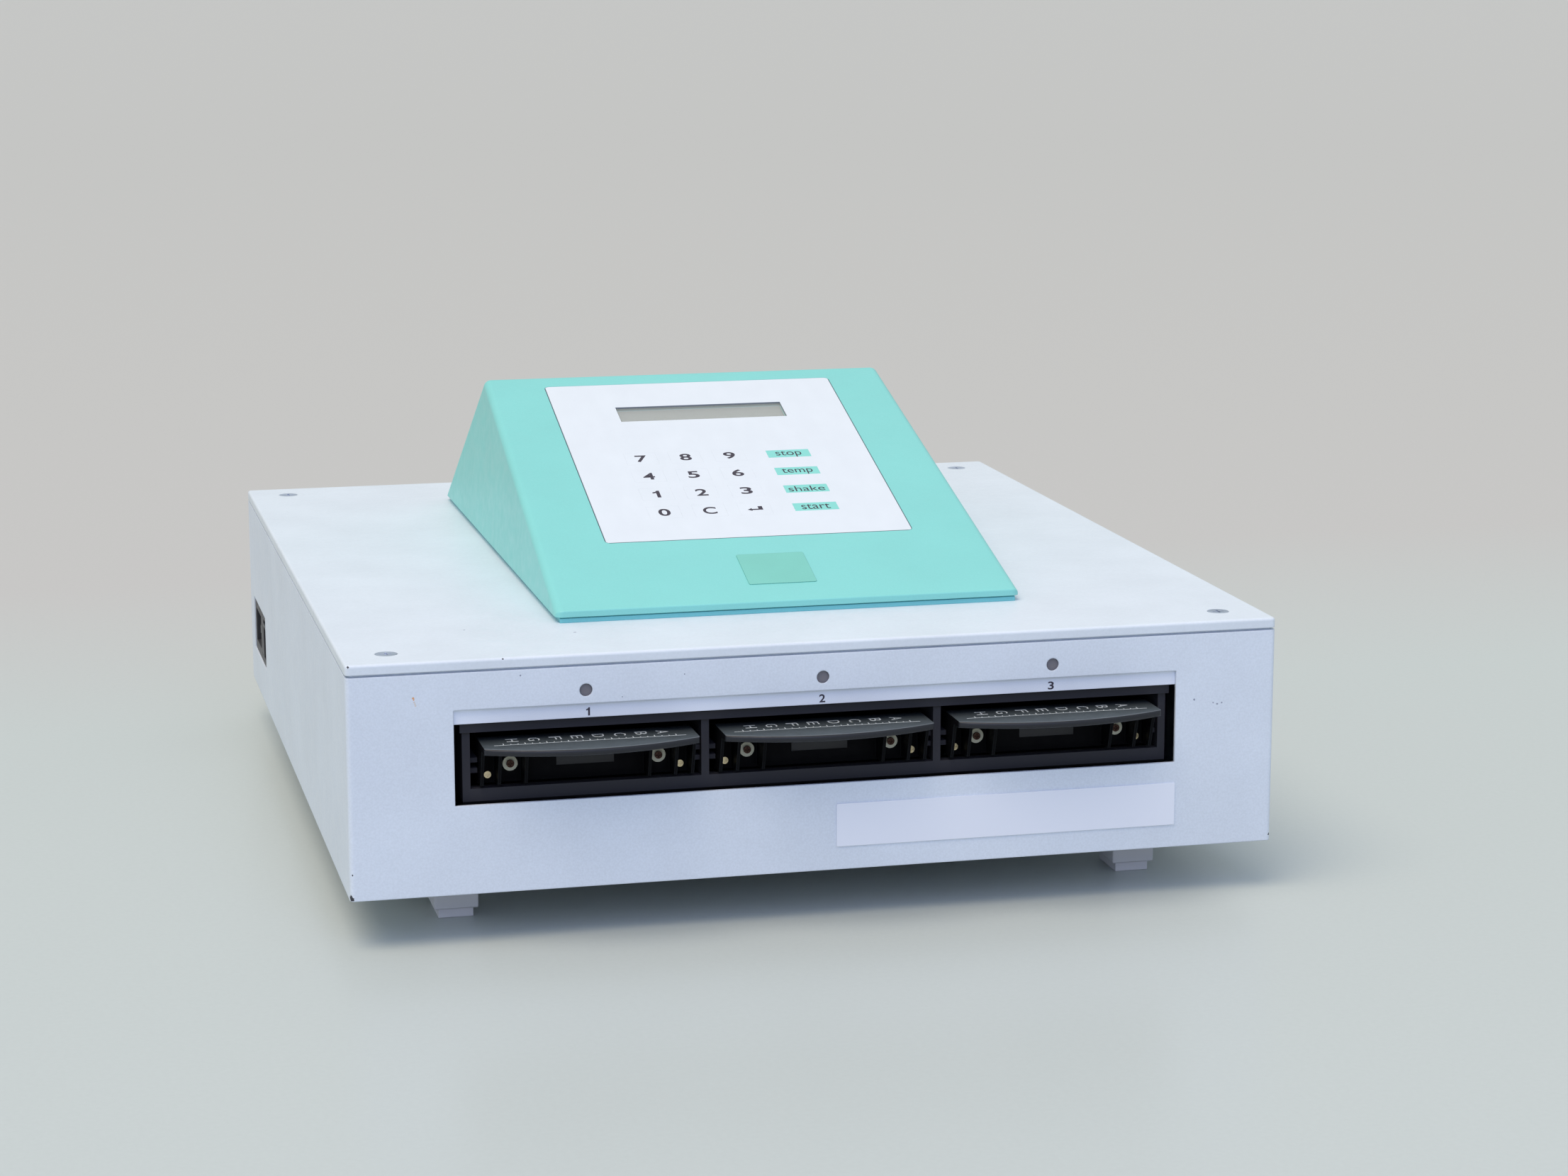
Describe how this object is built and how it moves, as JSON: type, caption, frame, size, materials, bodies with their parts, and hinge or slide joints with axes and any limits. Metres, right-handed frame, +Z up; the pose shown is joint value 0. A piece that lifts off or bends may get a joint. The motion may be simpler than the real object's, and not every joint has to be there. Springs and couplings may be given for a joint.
{
  "type": "microplate shaker incubator",
  "caption": "Bench-top shaker incubator: flat steel case with sloping keypad console and front slot for pull-out plate trays on an orbiting heated carriage.",
  "frame": {"origin": "middle of the footprint at the level of the table the feet stand on", "axes": "+X to the right seen from the front, +Y towards the back, +Z up; the front faces -Y"},
  "size_m": [0.4, 0.457, 0.1953],
  "materials": {
    "case_paint": "fine textured powder coat, cool white",
    "lid_paint": "fine textured powder coat, off-white",
    "console_teal": "satin moulded plastic",
    "overlay_white": "satin printed film",
    "key_white": "satin printed film",
    "key_teal": "satin printed film",
    "label_film": "satin film",
    "strip_white": "satin plate",
    "lens_grey": "moulded lens",
    "window_clear": "clear",
    "display_grey": "liquid crystal glass, unlit",
    "black_plastic": "moulded black",
    "tray_plastic": "moulded dark grey",
    "frame_black": "matt black",
    "nylon": "natural nylon",
    "steel": "plated",
    "brass": "plain",
    "aluminium": "machined",
    "foot_plastic": "moulded grey",
    "foot_rubber": "soft grey",
    "motor_steel": "plated can",
    "belt_rubber": "ground",
    "board_green": "solder mask",
    "core_steel": "laminated"
  },
  "bodies": {
    "case": {"case_tub": "case_paint", "top_lid": "lid_paint", "lid_screws": "steel", "lid_brackets": "steel", "foot_blocks": "foot_plastic", "foot_pads": "foot_rubber", "foot_screws": "steel", "number_strip": "strip_white", "indicator_lenses": "lens_grey", "front_label": "label_film", "console_shell": "console_teal", "console_base": "console_teal", "console_screws": "steel", "keypad_overlay": "overlay_white", "keypad_backing": "overlay_white", "display_window": "window_clear", "display_module": "display_grey", "badge_plate": "console_teal", "motor": "motor_steel", "drive_belt": "belt_rubber", "drive_plate": "aluminium", "main_board": "board_green", "transformer": "core_steel", "power_inlet": "black_plastic"},
    "drive_crank": {"drive_crank": "aluminium"},
    "idler_crank_left": {"idler_crank_left": "aluminium"},
    "idler_crank_right": {"idler_crank_right": "aluminium"},
    "motor_pulley": {"motor_pulley": "aluminium"},
    "carriage": {"shaker_platform": "aluminium", "bay_frame": "frame_black", "heated_bases": "aluminium", "heated_covers": "aluminium"},
    "power_rocker": {"power_rocker": "black_plastic"},
    "fuse_drawer": {"fuse_drawer": "black_plastic"},
    "tray_1": {"tray_1": "tray_plastic", "tray_1_washers": "nylon", "tray_1_screws": "brass"},
    "tray_2": {"tray_2": "tray_plastic", "tray_2_washers": "nylon", "tray_2_screws": "brass"},
    "tray_3": {"tray_3": "tray_plastic", "tray_3_washers": "nylon", "tray_3_screws": "brass"},
    "key_zero": {"key_zero": "key_white"},
    "key_one": {"key_one": "key_white"},
    "key_two": {"key_two": "key_white"},
    "key_three": {"key_three": "key_white"},
    "key_four": {"key_four": "key_white"},
    "key_five": {"key_five": "key_white"},
    "key_six": {"key_six": "key_white"},
    "key_seven": {"key_seven": "key_white"},
    "key_eight": {"key_eight": "key_white"},
    "key_nine": {"key_nine": "key_white"},
    "key_clear": {"key_clear": "key_white"},
    "key_enter": {"key_enter": "key_white"},
    "key_start": {"key_start": "key_teal"},
    "key_shake": {"key_shake": "key_teal"},
    "key_temp": {"key_temp": "key_teal"},
    "key_stop": {"key_stop": "key_teal"}
  },
  "joints": [
    {"name": "crank_spin", "type": "hinge", "parent": "case", "child": "drive_crank", "pos_m": [0, -0.1305, 0.04], "axis": [0, 0, 1], "continuous": true},
    {"name": "carriage_orbit", "type": "hinge", "parent": "drive_crank", "child": "carriage", "pos_m": [0, -0.1315, 0.056], "axis": [0, 0, 1], "continuous": true},
    {"name": "idler_left_spin", "type": "hinge", "parent": "case", "child": "idler_crank_left", "pos_m": [-0.112, -0.1645, 0.04], "axis": [0, 0, 1], "continuous": true},
    {"name": "idler_right_spin", "type": "hinge", "parent": "case", "child": "idler_crank_right", "pos_m": [0.112, -0.1645, 0.04], "axis": [0, 0, 1], "continuous": true},
    {"name": "motor_spin", "type": "hinge", "parent": "case", "child": "motor_pulley", "pos_m": [0, 0.0025, 0.04], "axis": [0, 0, 1], "continuous": true},
    {"name": "tray_1_slide", "type": "slide", "parent": "carriage", "child": "tray_1", "axis": [0, -1, 0], "range_m": [0, 0.125]},
    {"name": "tray_2_slide", "type": "slide", "parent": "carriage", "child": "tray_2", "axis": [0, -1, 0], "range_m": [0, 0.125]},
    {"name": "tray_3_slide", "type": "slide", "parent": "carriage", "child": "tray_3", "axis": [0, -1, 0], "range_m": [0, 0.125]},
    {"name": "power_rocker_tilt", "type": "hinge", "parent": "case", "child": "power_rocker", "pos_m": [-0.1944, 0.1582, 0.0545], "axis": [0, 1, 0], "range_deg": [0, 16]},
    {"name": "fuse_drawer_slide", "type": "slide", "parent": "case", "child": "fuse_drawer", "axis": [-1, 0, 0], "range_m": [0, 0.012]},
    {"name": "key_zero_press", "type": "slide", "parent": "case", "child": "key_zero", "axis": [0, 0.2985, -0.9544], "range_m": [0, 0.0004], "stiffness_N_per_m": 400, "springref_m": -0.0005},
    {"name": "key_one_press", "type": "slide", "parent": "case", "child": "key_one", "axis": [0, 0.2985, -0.9544], "range_m": [0, 0.0004], "stiffness_N_per_m": 400, "springref_m": -0.0005},
    {"name": "key_two_press", "type": "slide", "parent": "case", "child": "key_two", "axis": [0, 0.2985, -0.9544], "range_m": [0, 0.0004], "stiffness_N_per_m": 400, "springref_m": -0.0005},
    {"name": "key_three_press", "type": "slide", "parent": "case", "child": "key_three", "axis": [0, 0.2985, -0.9544], "range_m": [0, 0.0004], "stiffness_N_per_m": 400, "springref_m": -0.0005},
    {"name": "key_four_press", "type": "slide", "parent": "case", "child": "key_four", "axis": [0, 0.2985, -0.9544], "range_m": [0, 0.0004], "stiffness_N_per_m": 400, "springref_m": -0.0005},
    {"name": "key_five_press", "type": "slide", "parent": "case", "child": "key_five", "axis": [0, 0.2985, -0.9544], "range_m": [0, 0.0004], "stiffness_N_per_m": 400, "springref_m": -0.0005},
    {"name": "key_six_press", "type": "slide", "parent": "case", "child": "key_six", "axis": [0, 0.2985, -0.9544], "range_m": [0, 0.0004], "stiffness_N_per_m": 400, "springref_m": -0.0005},
    {"name": "key_seven_press", "type": "slide", "parent": "case", "child": "key_seven", "axis": [0, 0.2985, -0.9544], "range_m": [0, 0.0004], "stiffness_N_per_m": 400, "springref_m": -0.0005},
    {"name": "key_eight_press", "type": "slide", "parent": "case", "child": "key_eight", "axis": [0, 0.2985, -0.9544], "range_m": [0, 0.0004], "stiffness_N_per_m": 400, "springref_m": -0.0005},
    {"name": "key_nine_press", "type": "slide", "parent": "case", "child": "key_nine", "axis": [0, 0.2985, -0.9544], "range_m": [0, 0.0004], "stiffness_N_per_m": 400, "springref_m": -0.0005},
    {"name": "key_clear_press", "type": "slide", "parent": "case", "child": "key_clear", "axis": [0, 0.2985, -0.9544], "range_m": [0, 0.0004], "stiffness_N_per_m": 400, "springref_m": -0.0005},
    {"name": "key_enter_press", "type": "slide", "parent": "case", "child": "key_enter", "axis": [0, 0.2985, -0.9544], "range_m": [0, 0.0004], "stiffness_N_per_m": 400, "springref_m": -0.0005},
    {"name": "key_start_press", "type": "slide", "parent": "case", "child": "key_start", "axis": [0, 0.2985, -0.9544], "range_m": [0, 0.0004], "stiffness_N_per_m": 400, "springref_m": -0.0005},
    {"name": "key_shake_press", "type": "slide", "parent": "case", "child": "key_shake", "axis": [0, 0.2985, -0.9544], "range_m": [0, 0.0004], "stiffness_N_per_m": 400, "springref_m": -0.0005},
    {"name": "key_temp_press", "type": "slide", "parent": "case", "child": "key_temp", "axis": [0, 0.2985, -0.9544], "range_m": [0, 0.0004], "stiffness_N_per_m": 400, "springref_m": -0.0005},
    {"name": "key_stop_press", "type": "slide", "parent": "case", "child": "key_stop", "axis": [0, 0.2985, -0.9544], "range_m": [0, 0.0004], "stiffness_N_per_m": 400, "springref_m": -0.0005}
  ],
  "couplings": [
    {"joint": "crank_spin", "follows": "carriage_orbit", "ratio": -1},
    {"joint": "idler_left_spin", "follows": "carriage_orbit", "ratio": -1},
    {"joint": "idler_right_spin", "follows": "carriage_orbit", "ratio": -1},
    {"joint": "motor_spin", "follows": "carriage_orbit", "ratio": -3}
  ]
}
